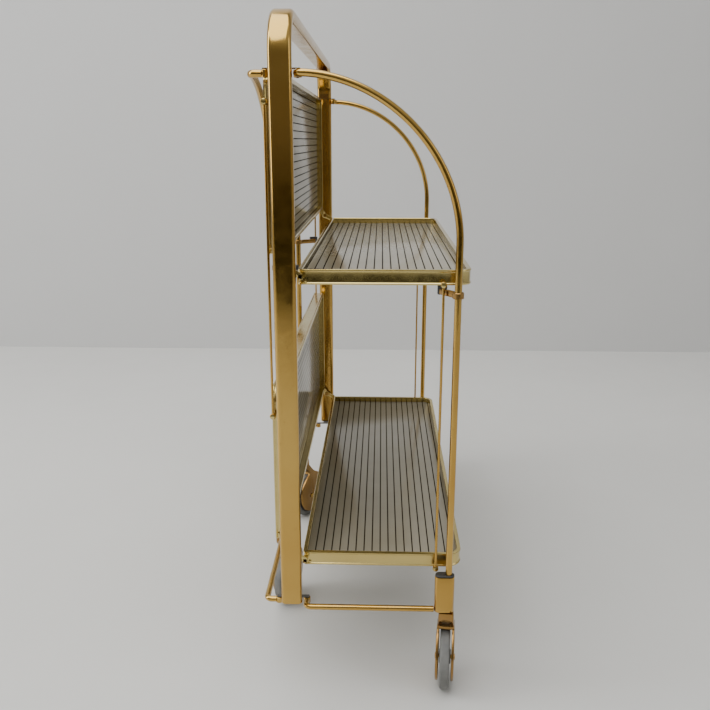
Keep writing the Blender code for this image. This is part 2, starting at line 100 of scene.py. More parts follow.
TREAD_R = 0.0034  # of the rounding between the tyre's side and its tread
CHEEK_TOP, NECK_FOOT = 0.0700, NECK_TOP - 0.0040  # the fork narrows between these heights
PAST = 0.001  # how far a cutter reaches past the face it cuts
STRIPE_PITCH, STRIPE_WIDTH, STRIPE_X = 0.0098, 0.0015, 0.1035


# ---------------------------------------------------------------- mesh helpers
def to_object(name, bm):
    mesh = bpy.data.meshes.new(name)
    bmesh.ops.recalc_face_normals(bm, faces=bm.faces)
    bm.to_mesh(mesh)
    bm.free()
    obj = bpy.data.objects.new(name, mesh)
    bpy.context.scene.collection.objects.link(obj)
    return obj


def skin(rings, closed=False):
    bm = bmesh.new()
    rows = [[bm.verts.new(p) for p in ring] for ring in rings]
    count = len(rings[0])
    for a, b in zip(rows, rows[1:] + (rows[:1] if closed else [])):
        for i in range(count):
            j = (i + 1) % count
            bm.faces.new((a[i], a[j], b[j], b[i]))
    if not closed:
        bm.faces.new(rows[0][::-1])
        bm.faces.new(rows[-1])
    return to_object("tmp", bm)


def circle(radius, count, turn=0.0):
    return [
        (radius * math.cos(turn + 2 * math.pi * i / count), radius * math.sin(turn + 2 * math.pi * i / count))
        for i in range(count)
    ]


AT = {"X": lambda u, v, w: (w, u, v), "Y": lambda u, v, w: (u, w, v), "Z": lambda u, v, w: (u, v, w)}


def prism(outline, axis, a, b):
    return skin([[AT[axis](u, v, w) for u, v in outline] for w in (a, b)])


def box(x0, x1, y0, y1, z0, z1):
    return prism([(x0, y0), (x1, y0), (x1, y1), (x0, y1)], "Z", z0, z1)


def turned(centre, axis, profile, count=32):
    """A solid of revolution about an axis: profile is (place along the axis, radius), ends first and last."""
    rings = []
    for w, r in profile:
        rings.append([AT[axis](centre[0] + u, centre[1] + v, w) for u, v in circle(r, count)])
    return skin(rings)


def lathe(profile, count):
    rings = []
    for i in range(count):
        angle = 2 * math.pi * i / count
        rings.append([(x, r * math.cos(angle), r * math.sin(angle)) for x, r in profile])
    return skin(rings, closed=True)


def tube(points, radius, sides=28):
    """A round rod along a line of points, its section carried along without twist, with softened ends."""
    points = [Vector(p) for p in points]
    tangents = []
    for i, p in enumerate(points):
        before, after = points[max(i - 1, 0)], points[min(i + 1, len(points) - 1)]
        tangents.append((after - before).normalized())
    side = tangents[0].orthogonal().normalized()
    rings = []
    for i, (p, t) in enumerate(zip(points, tangents)):
        side = (side - t * side.dot(t)).normalized()
        other = t.cross(side)
        ring = [p + side * u + other * v for u, v in circle(radius, sides)]
        if i == 0:
            rings.append([p + (q - p) * ROD_END_SHARE for q in ring])
            rings.append([p + t * radius * (1 - ROD_END_SHARE) + (q - p) for q in ring])
        elif i == len(points) - 1:
            rings.append([p - t * radius * (1 - ROD_END_SHARE) + (q - p) for q in ring])
            rings.append([p + (q - p) * ROD_END_SHARE for q in ring])
        else:
            rings.append(ring)
    return skin(rings)


def filleted(points, radius, steps=10):
    """A line through the points with each inner corner rounded to a radius."""
    points = [Vector(p) for p in points]
    out = [points[0]]
    for a, b, c in zip(points, points[1:], points[2:]):
        u, v = (a - b).normalized(), (c - b).normalized()
        half = u.angle(v) / 2
        reach = radius / math.tan(half)
        centre = b + (u + v).normalized() * radius / math.sin(half)
        start, end = b + u * reach - centre, b + v * reach - centre
        total = start.angle(end)
        for k in range(steps + 1):
            t = k / steps
            out.append(centre + (start * math.sin((1 - t) * total) + end * math.sin(t * total)) / math.sin(total))
    out.append(points[-1])
    return out


def join(parts):
    """Several helper solids made one object."""
    bm = bmesh.new()
    for part in parts:
        part.data.transform(part.matrix_basis)
        bm.from_mesh(part.data)
    mesh = bpy.data.meshes.new("joined")
    bm.to_mesh(mesh)
    bm.free()
    for part in parts:
        bpy.data.objects.remove(part, do_unlink=True)
    obj = bpy.data.objects.new("joined", mesh)
    bpy.context.scene.collection.objects.link(obj)
    return obj


def bake(obj):
    graph = bpy.context.evaluated_depsgraph_get()
    mesh = bpy.data.meshes.new_from_object(obj.evaluated_get(graph))
    obj.modifiers.clear()
    obj.data = mesh
    return obj


def cut(base, cutters):
    """Cuts helper solids out of a piece, and removes the helpers."""
    for other in cutters:
        modifier = base.modifiers.new("boolean", "BOOLEAN")
        modifier.operation, modifier.solver, modifier.object = "DIFFERENCE", "EXACT", other
    bake(base)
    for other in cutters:
        bpy.data.objects.remove(other, do_unlink=True)
    return base


def bevel(obj, width, segments=2, angle=35):
    modifier = obj.modifiers.new("bevel", "BEVEL")
    modifier.width, modifier.segments = width, segments
    modifier.limit_method, modifier.angle_limit = "ANGLE", math.radians(angle)
    modifier.harden_normals = False
    return bake(obj)


def place(obj, name, mat, body, nodes, matrix=Matrix(), sharp=38):
    """Moves a finished piece into the row's frame and hands it to its CAD body."""
    whole = Matrix.Translation((FRAME_X, MIDDLE_Y, 0)) @ matrix
    obj.data.transform(whole)
    if whole.determinant() < 0:
        obj.data.flip_normals()
    obj.name = obj.data.name = name
    obj.data.materials.clear()
    obj.data.materials.append(mat)
    for polygon in obj.data.polygons:
        polygon.use_smooth = True
    obj.data.set_sharp_from_angle(angle=math.radians(sharp))
    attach(obj, body)
    if nodes:
        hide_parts(*nodes)
    return obj


# ---------------------------------------------------------------- materials
def new_material(name):
    made = bpy.data.materials.new(name)
    made.use_nodes = True
    tree = made.node_tree
    return made, tree, tree.nodes["Principled BSDF"]


def noise(tree, coords, scale, detail=4.0, rough=0.55, distortion=0.0):
    node = tree.nodes.new("ShaderNodeTexNoise")
    node.inputs["Scale"].default_value = scale
    node.inputs["Detail"].default_value = detail
    node.inputs["Roughness"].default_value = rough
    node.inputs["Distortion"].default_value = distortion
    tree.links.new(coords, node.inputs["Vector"])
    return node.outputs["Fac"]


def ramp(tree, fac, stops):
    node = tree.nodes.new("ShaderNodeValToRGB")
    while len(node.color_ramp.elements) < len(stops):
        node.color_ramp.elements.new(0.5)
    for element, (at, colour) in zip(node.color_ramp.elements, stops):
        element.position = at
        element.color = (*colour, 1.0)
    tree.links.new(fac, node.inputs["Fac"])
    return node.outputs["Color"]


def remap(tree, value, low, high, to_low, to_high):
    node = tree.nodes.new("ShaderNodeMapRange")
    for key, number in zip(("From Min", "From Max", "To Min", "To Max"), (low, high, to_low, to_high)):
        node.inputs[key].default_value = number
    tree.links.new(value, node.inputs["Value"])
    return node.outputs["Result"]


def mix(tree, fac, a, b, blend="MIX"):
    node = tree.nodes.new("ShaderNodeMix")
    node.data_type, node.blend_type = "RGBA", blend
    if isinstance(fac, float):
        node.inputs[0].default_value = fac
    else:
        tree.links.new(fac, node.inputs[0])
    for socket, value in ((node.inputs[6], a), (node.inputs[7], b)):
        if isinstance(value, tuple):
            socket.default_value = (*value, 1.0)
        else:
            tree.links.new(value, socket)
    return node.outputs[2]


def bump(tree, height, strength, distance):
    node = tree.nodes.new("ShaderNodeBump")
    node.inputs["Strength"].default_value = strength
    node.inputs["Distance"].default_value = distance
    tree.links.new(height, node.inputs["Height"])
    return node.outputs["Normal"]


def brass(name, light, deep, tarnish, rough=(0.10, 0.24), amount=0.5):
    """Lacquered brass plate: slow drift between two golds, small tarnish freckles, fine wipe marks."""
    made, tree, shader = new_material(name)
    coords = tree.nodes.new("ShaderNodeTexCoord").outputs["Object"]
    drift = noise(tree, coords, 7.0, 3.0)
    colour = ramp(tree, drift, ((0.35, light), (0.68, deep)))
    freckles = remap(tree, noise(tree, coords, 130.0, 5.0, 0.7), 0.63, 0.76, 0.0, amount)
    colour = mix(tree, freckles, colour, tarnish)
    tree.links.new(colour, shader.inputs["Base Color"])
    wipe = noise(tree, coords, 55.0, 6.0, 0.65, 0.6)
    tree.links.new(remap(tree, wipe, 0.3, 0.75, *rough), shader.inputs["Roughness"])
    ripple = noise(tree, coords, 24.0, 2.0)
    tree.links.new(bump(tree, ripple, 0.10, 0.0006), shader.inputs["Normal"])
    shader.inputs["Metallic"].default_value = 1.0
    shader.inputs["Coat Weight"].default_value = 0.15
    shader.inputs["Coat Roughness"].default_value = 0.08
    return made


GOLD = brass("gold_plate", (0.56, 0.36, 0.095), (0.46, 0.27, 0.06), (0.20, 0.11, 0.03))
PALE = brass("pale_gold_plate", (0.62, 0.50, 0.20), (0.52, 0.40, 0.14), (0.28, 0.19, 0.07), (0.14, 0.26), 0.35)
BRONZE = brass("bronze_plate", (0.40, 0.235, 0.075), (0.29, 0.16, 0.045), (0.11, 0.05, 0.018), (0.16, 0.30))


def panel_material():
    """Smoked, high-gloss sheet with dark pinstripes. The first UV number is metres across the tray."""
    made, tree, shader = new_material("smoked_striped_panel")
    uv = tree.nodes.new("ShaderNodeUVMap")
    uv.uv_map = "UVMap"
    split = tree.nodes.new("ShaderNodeSeparateXYZ")
    tree.links.new(uv.outputs["UV"], split.inputs[0])
    pitch = tree.nodes.new("ShaderNodeMath")
    pitch.operation = "PINGPONG"
    pitch.inputs[1].default_value = 0.5
    scaled = tree.nodes.new("ShaderNodeMath")
    scaled.operation = "DIVIDE"
    scaled.inputs[1].default_value = STRIPE_PITCH
    tree.links.new(split.outputs["X"], scaled.inputs[0])
    tree.links.new(scaled.outputs[0], pitch.inputs[0])
    half = 0.5 * STRIPE_WIDTH / STRIPE_PITCH
    stripe = remap(tree, pitch.outputs[0], half * 0.75, half * 1.25, 1.0, 0.0)
    coords = tree.nodes.new("ShaderNodeTexCoord").outputs["Object"]
    cloud = noise(tree, coords, 9.0, 4.0, 0.6)
    smoke = ramp(tree, cloud, ((0.3, (0.34, 0.31, 0.235)), (0.7, (0.29, 0.26, 0.19))))
    colour = mix(tree, stripe, smoke, (0.022, 0.016, 0.010))
    tree.links.new(colour, shader.inputs["Base Color"])
    dust = noise(tree, coords, 320.0, 6.0, 0.7)
    tree.links.new(remap(tree, dust, 0.35, 0.8, 0.13, 0.24), shader.inputs["Roughness"])
    tree.links.new(bump(tree, noise(tree, coords, 14.0, 2.0), 0.05, 0.0003), shader.inputs["Normal"])
    # The sheet is glossy, the printed stripes are matt.
    tree.links.new(remap(tree, stripe, 0.0, 1.0, 0.32, 0.0), shader.inputs["Specular IOR Level"])
    shader.inputs["IOR"].default_value = 1.45
    return made


def plastic(name, light, dark, rough, scale=90.0, depth=0.0003):
    made, tree, shader = new_material(name)
    coords = tree.nodes.new("ShaderNodeTexCoord").outputs["Object"]
    cloud = noise(tree, coords, scale * 0.2, 4.0)
    tree.links.new(ramp(tree, cloud, ((0.3, dark), (0.7, light))), shader.inputs["Base Color"])
    grain = noise(tree, coords, scale * 12, 3.0, 0.6)
    tree.links.new(remap(tree, grain, 0.3, 0.7, *rough), shader.inputs["Roughness"])
    tree.links.new(bump(tree, grain, 0.25, depth), shader.inputs["Normal"])
    return made


def tyre_material():
    """Grey rubber, scuffed lighter and dusty in random patches."""
    made, tree, shader = new_material("grey_rubber")
    coords = tree.nodes.new("ShaderNodeTexCoord").outputs["Object"]
    patch = noise(tree, coords, 45.0, 6.0, 0.65)
    stops = ((0.32, (0.13, 0.13, 0.125)), (0.55, (0.19, 0.19, 0.18)), (0.75, (0.27, 0.26, 0.24)))
    colour = ramp(tree, patch, stops)
    tree.links.new(colour, shader.inputs["Base Color"])
    grain = noise(tree, coords, 900.0, 3.0, 0.6)
    tree.links.new(remap(tree, patch, 0.3, 0.7, 0.55, 0.8), shader.inputs["Roughness"])
    tree.links.new(bump(tree, grain, 0.3, 0.0003), shader.inputs["Normal"])
    return made


PANEL = panel_material()
DARK = plastic("dark_plastic", (0.035, 0.035, 0.036), (0.018, 0.018, 0.018), (0.38, 0.55))
GREY = plastic("grey_plastic", (0.10, 0.10, 0.10), (0.06, 0.06, 0.06), (0.40, 0.58))
TYRE = tyre_material()


# ---------------------------------------------------------------- main frame
def tube_section(inset, steps):
    """The flat tube's section: across the arch's plane, then in it."""
    points = []
    half_x, half_y, radius = FRAME_WIDE / 2 - inset, FRAME_DEEP / 2 - inset, FRAME_EDGE - inset
    for i, (sx, sy) in enumerate(((1, 1), (-1, 1), (-1, -1), (1, -1))):
        for k in range(steps + 1):
            angle = math.radians(90 * i + 90 * k / steps)
            cx, cy = sx * (half_x - radius), sy * (half_y - radius)
            points.append((cx + radius * math.cos(angle), cy + radius * math.sin(angle)))
    return points


def arch(inset, steps, bottom, turns=20):
    """The flat tube's outer or inner skin as a solid, swept up, over and down, its two ends softened."""
    bend = FRAME_BEND - FRAME_DEEP / 2
    top = FRAME_TOP - FRAME_DEEP / 2
    path = [(-FRAME_Y, bottom, 0.0), (-FRAME_Y, bottom + 0.0006, 0.0)]
    for k in range(1, 8):
        path.append((-FRAME_Y, bottom + (top - bend - bottom) * k / 8, 0.0))
    for i in range(turns + 1):
        turn = math.radians(90 * i / turns)
        path.append((-FRAME_Y + bend - bend * math.cos(turn), top - bend + bend * math.sin(turn), turn))
    path += [(-y, z, math.pi - turn) for y, z, turn in path[::-1]]
    rings = []
    for i, (y, z, turn) in enumerate(path):
        out = (-math.cos(turn), math.sin(turn))
        more = 0.0004 if i in (0, len(path) - 1) else 0.0
        rings.append([(u, y + v * out[0], z + v * out[1]) for u, v in tube_section(inset + more, steps)])
    return skin(rings)


body = arch(0.0, 10, FRAME_BOTTOM)
bore = arch(FRAME_WALL, 6, FRAME_BOTTOM - 0.01)
place(cut(body, [bore]), "main_frame_tube", GOLD, "frame", ["main_frame"], sharp=30)


# ---------------------------------------------------------------- leaves
def leaf_outline(inset, fine=14):
    points = []
    corners = (
        (LEAF_OUT, LEAF_Y, CORNER_OUT, 0, fine),
        (LEAF_IN, LEAF_Y, CORNER_IN, 90, 6),
        (LEAF_IN, -LEAF_Y, CORNER_IN, 180, 6),
        (LEAF_OUT, -LEAF_Y, CORNER_OUT, 270, fine),
    )
    for x, y, radius, start, steps in corners:
        sx = 1 if x == LEAF_OUT else -1
        sy = 1 if y > 0 else -1
        r = max(radius - inset, 0.0005)
        cx, cy = x - sx * (inset + r), y - sy * (inset + r)
        for k in range(steps + 1):
            angle = math.radians(start + 90 * k / steps)
            points.append((cx + r * math.cos(angle), cy + r * math.sin(angle)))
    return points


# The rim from the side: (inset from the edge, below the top). A bead at the top and at the foot, a band between.
RIM_SECTION = (
    (0.0012, 0.0000), (0.0004, 0.0003), (0.0000, 0.0010), (0.0000, 0.0020), (0.0003, 0.0025), (0.0007, 0.0030),
    (0.0008, 0.0050), (0.0008, 0.0125), (0.0007, 0.0142), (0.0003, 0.0147), (0.0000, 0.0151), (0.0000, 0.0162),
    (0.0003, 0.0167), (0.0010, RIM_H), (0.0020, 0.0166), (0.0022, 0.0156), (0.0090, 0.0154), (0.0090, 0.0138),
    (0.0024, 0.0138), (0.0022, 0.0028), (0.0040, 0.0023), (0.0050, 0.0016), (0.0050, 0.0008), (0.0044, 0.0001),
)


def leaf_matrix(side, z):
    sx = 1 if side == "right" else -1
    turn = Matrix.Rotation(math.radians(90) if side == "left" else 0.0, 4, "Y")
    return Matrix.Translation((0, 0, z)) @ turn @ Matrix.Translation((0, 0, -z)) @ Matrix.Diagonal((sx, 1, 1, 1))


def make_leaf(tier, side):
    z = AXIS_Z[tier]
    top = z - LEAF_DROP
    name = f"leaf_{tier}_{side}"
    outlines = [[(x, y, top - down) for x, y in leaf_outline(inset)] for inset, down in RIM_SECTION]
    parts = [skin(outlines, closed=True)]
    ear0, ear1 = EAR_OPEN if side == "right" else EAR_FOLDED
    for sy in (1, -1):
        outline = [(BOSS_X[1], top - 0.0105), (BOSS_X[1], top - 0.0040)]
        for k in range(17):
            angle = math.radians(80 + 190 * k / 16)
            outline.append((EAR_R * math.cos(angle), z + EAR_R * math.sin(angle)))
        ear = prism(outline, "Y", *sorted((sy * ear0, sy * ear1)))
        hole = turned((0, z), "Y", [(w, PIN_HOLE) for w in sorted((sy * 0.298, sy * 0.309))], 24)
        parts.append(bevel(cut(ear, [hole]), 0.0003, 2, 50))
        inner = sorted((sy * (LEAF_Y - 0.001), sy * ear1))
        parts.append(bevel(box(BOSS_X[0], BOSS_X[1] - 0.0002, *inner, top - 0.0100, top - 0.0045), 0.0004, 2))
        # A low rivet beside the hinge, and the link's stud with its round head.
        rivet = ((LEAF_Y - PAST, RIVET_R), (LEAF_Y + 0.0004, RIVET_R), (LEAF_Y + 0.0007, RIVET_R - 0.0006))
        parts.append(turned((0.0200, top - 0.0128), "Y", [(sy * w, r) for w, r in rivet], 20))
        stud = (LINK_X, z - LINK_DROP)
        parts.append(turned(stud, "Y", ((sy * (LEAF_Y - PAST), PIN_R), (sy * 0.3068, PIN_R)), 20))
        head = (
            (LINK_Y[1] + 0.0004, HEAD_R - 0.0004),
            (LINK_Y[1] + 0.0007, HEAD_R),
            (0.3069, HEAD_R - 0.0001),
            (0.3073, HEAD_R - 0.0009),
            (0.3074, 0.0008),
        )
        parts.append(turned(stud, "Y", [(sy * w, r) for w, r in head], 24))
    matrix = leaf_matrix(side, z)
    place(join(parts), f"{name}_rim_piece", PALE, name, [f"{name}_rim"], matrix, 32)

    inset, edge = 0.0023, 0.0005
    high, low = top - PANEL_DOWN, top - PANEL_DOWN - PANEL_T
    levels = (
        (inset + edge, low),
        (inset, low + edge),
        (inset, high - edge),
        (inset + edge * 0.3, high - edge * 0.3),
        (inset + edge, high),
    )
    panel = skin([[(x, y, level) for x, y in leaf_outline(i)] for i, level in levels])
    uv = panel.data.uv_layers.new(name="UVMap")
    for loop in panel.data.loops:
        point = panel.data.vertices[loop.vertex_index].co
        uv.data[loop.index].uv = (point.x - STRIPE_X, point.y)
    place(panel, f"{name}_panel_piece", PANEL, name, [f"{name}_panel"], matrix, 32)


for tier in ("lower", "upper"):
    for side in ("right", "left"):
        make_leaf(tier, side)


# ---------------------------------------------------------------- link rods
def make_link(end, side):
    sy = -1 if end == "near" else 1
    x, drop = (LINK_X, -LINK_DROP) if side == "right" else (LINK_DROP, LINK_X)
    low, high = AXIS_Z["lower"] + drop, AXIS_Z["upper"] + drop
    y0, y1 = sorted((sy * LINK_Y[0], sy * LINK_Y[1]))
    middle = (y0 + y1) / 2
    foot, head = low + LINK_START, high - LINK_START
    parts = [tube([(x, middle, foot + (head - foot) * k / 8) for k in range(9)], LINK_R, 20)]
    for z in (low, high):
        edge = 0.0003
        levels = ((y0, LINK_EYE - edge), (y0 + edge, LINK_EYE), (y1 - edge, LINK_EYE), (y1, LINK_EYE - edge))
        eye = turned((x, z), "Y", levels, 28)
        parts.append(cut(eye, [turned((x, z), "Y", ((y0 - PAST, PIN_HOLE), (y1 + PAST, PIN_HOLE)), 24)]))
    name = f"link_{end}_{side}"
    matrix = Matrix.Diagonal((1 if side == "right" else -1, 1, 1, 1))
    place(join(parts), f"{name}_piece", GOLD, name, [name], matrix, 40)


# ---------------------------------------------------------------- gates
def gate_matrix(side, end):
    sx, sy = (1 if side == "right" else -1), (-1 if end == "near" else 1)
    flip = Matrix.Diagonal((sx, -sy, 1, 1))
    if side == "right":
        return flip
    at = Vector((sx * PIVOT_X, sy * PIVOT_Y, 0))
    turn = Matrix.Rotation(sx * sy * -math.radians(90), 4, "Z")
    return Matrix.Translation(at) @ turn @ Matrix.Translation(-at) @ flip


def bow_points():
    """The bow's curve, from the crank arm's elbow down to the foot of its leg."""
    line = []
    for i in range(49):
        turn = math.radians(90) * i / 48
        sin, cos = math.sin(turn), max(math.cos(turn), 0.0)
        x = PIVOT_X + (BOW_X - PIVOT_X) * sin**BOW_POWER
        z = BOW_TOP - BOW_DROP * (1 - cos**BOW_POWER)
        line.append(Vector((x, -GATE_Y, z)))
    top = BOW_TOP - BOW_DROP
    for k in range(1, 13):
        line.append(Vector((BOW_X, -GATE_Y, top + (BOW_END - top) * k / 12)))
    return line


def crank(line, radius):
    """A gate's rod led back from its elbow to the pivot: the eye round the pin and the bent rod."""
    elbow = line[0]
    pivot = Vector((PIVOT_X, -PIVOT_Y, elbow.z))
    along = (elbow - pivot).normalized()
    low, high = elbow.z - radius, elbow.z + radius
    levels = ((low, EYE_R - 0.0004), (low + 0.0004, EYE_R), (high - 0.0004, EYE_R), (high, EYE_R - 0.0004))
    eye = cut(
        turned(pivot, "Z", levels, 32),
        [turned(pivot, "Z", ((low - PAST, PIN_HOLE), (high + PAST, PIN_HOLE)), 24)],
    )
    bend = filleted([pivot + along * EYE_R * 0.75, elbow, line[2]], BEND_R)
    return eye, bend[:-1] + line[2:]


def make_gate(end, side):
    name, matrix = f"gate_{end}_{side}", gate_matrix(side, end)

    def fixed(piece, label, mat, node, sharp):
        place(piece, f"{name}_{label}_piece", mat, name, [f"{name}_{node}"], matrix, sharp)

    eye, line = crank(bow_points(), BOW_R)
    fixed(join([eye, tube(line, BOW_R, 32)]), "bow", GOLD, "bow", 40)

    stop = BLOCK_X - BLOCK_HALF - GAP
    line = [Vector((PIVOT_X + (stop - PIVOT_X) * k / 12, -GATE_Y, ROD_Z)) for k in range(13)]
    eye, line = crank(line, ROD_R)
    fixed(join([eye, tube(line, ROD_R, 28)]), "rod", GOLD, "rod", 40)

    def oval(half, radius, steps=16):
        points = []
        for centre, start in ((half - radius, -90), (radius - half, 90)):
            for k in range(steps + 1):
                angle = math.radians(start + 180 * k / steps)
                points.append((BLOCK_X + centre + radius * math.cos(angle), -GATE_Y + radius * math.sin(angle)))
        return points

    def oval_solid(levels):
        return skin([[(x, y, z) for x, y in oval(BLOCK_HALF - d, BLOCK_R - d)] for d, z in levels])

    axis = (BOW_X, -GATE_Y)
    block = oval_solid(
        (
            (0.0007, BLOCK_BOTTOM),
            (0.0002, BLOCK_BOTTOM + 0.0002),
            (0.0, BLOCK_BOTTOM + 0.0007),
            (0.0, BLOCK_TOP - 0.0007),
            (0.0002, BLOCK_TOP - 0.0002),
            (0.0007, BLOCK_TOP),
        )
    )
    bore, stem_bore, stem_top = BOW_R + GAP, STEM_R + GAP, BLOCK_BOTTOM + 0.017
    holes = [
        turned(axis, "Z", ((BOW_END - GAP, bore), (BLOCK_TOP + PAST, bore)), 28),
        turned((STEM_X, -GATE_Y), "Z", ((BLOCK_BOTTOM - PAST, stem_bore), (stem_top, stem_bore)), 28),
    ]
    fixed(cut(block, holes), "block", GOLD, "block", 38)
    cap = oval_solid(
        (
            (0.0003, BLOCK_TOP + GAP),
            (0.0003, CAP_TOP - 0.0008),
            (0.0006, CAP_TOP - 0.0003),
            (0.0010, CAP_TOP),
        )
    )
    hole = turned(axis, "Z", ((BLOCK_TOP - PAST, bore), (CAP_TOP + PAST, bore)), 28)
    fixed(cut(cap, [hole]), "cap", DARK, "cap", 38)

    low, high, edge = SUPPORT_LOW, SUPPORT_HIGH, 0.0005
    levels = ((low, SLEEVE_R - edge), (low + edge, SLEEVE_R), (high - edge, SLEEVE_R), (high, SLEEVE_R - edge))
    sleeve = turned(axis, "Z", levels, 32)
    sleeve = cut(sleeve, [turned(axis, "Z", ((low - PAST, bore), (high + PAST, bore)), 28)])
    start, tip = Vector(axis), Vector(SUPPORT_TIP[:2])
    along = (tip - start).normalized()
    across = Vector((-along.y, along.x)) * SUPPORT_WIDE / 2

    def bar(a, b, share, z0, z1):
        side = across * share
        return bevel(prism([a - side, b - side, b + side, a + side], "Z", z0, z1), 0.0009, 4)

    arm = bar(start + along * 0.0052, tip - along * 0.0012, 1.0, low, high)
    fixed(join([sleeve, arm]), "support", BRONZE, "support", 38)
    # The dark pad on the arm's end, which comes under the open upper leaf.
    raised = bar(start.lerp(tip, 0.67), tip - along * 0.0015, 0.9, high + 0.0002, SUPPORT_TIP[2])
    r, z0, z1, edge = SUPPORT_WIDE * 0.6, low - 0.0004, SUPPORT_TIP[2] - 0.0004, 0.0006
    pad = turned(tip, "Z", ((z0, r - edge), (z0 + edge, r), (z1 - edge, r), (z1, r - edge)), 28)
    fixed(join([raised, pad]), "catch", DARK, "support", 38)


# ---------------------------------------------------------------- casters
# The fork from the side, from its front foot over the top to its back foot: (forward of the hub, above it).
FORK_SIDE = (
    (0.0190, -0.0215), (0.0270, -0.0100), (0.0295, 0.0020), (0.0280, 0.0140), (0.0225, 0.0250), (0.0130, 0.0360),
    (0.0020, 0.0430), (0.0180, 0.0590), (0.0190, NECK_TOP - WHEEL_R), (0.0045, NECK_TOP - WHEEL_R), (0.0035, 0.0590),
    (-0.0080, 0.0440), (-0.0190, 0.0390), (-0.0280, 0.0320), (-0.0320, 0.0200), (-0.0300, 0.0020),
    (-0.0270, -0.0100), (-0.0190, -0.0215), (-0.0070, -0.0275), (0.0070, -0.0275),
)
FORK_CORNERS = {7, 8, 9, 10}  # the neck's points, kept sharp while the rest of the line is smoothed


def smoothed(points, corners, rounds=2):
    """A closed line with its corners cut twice over, except at the points named."""
    marked = [(Vector(p), i in corners) for i, p in enumerate(points)]
    for _ in range(rounds):
        out = []
        for (p, keep), (q, keep_next) in zip(marked, marked[1:] + marked[:1]):
            out.append((p, True) if keep else (p.lerp(q, 0.25), False))
            if not keep_next:
                out.append((p.lerp(q, 0.75), False))
        marked = out
    return [p for p, _ in marked]


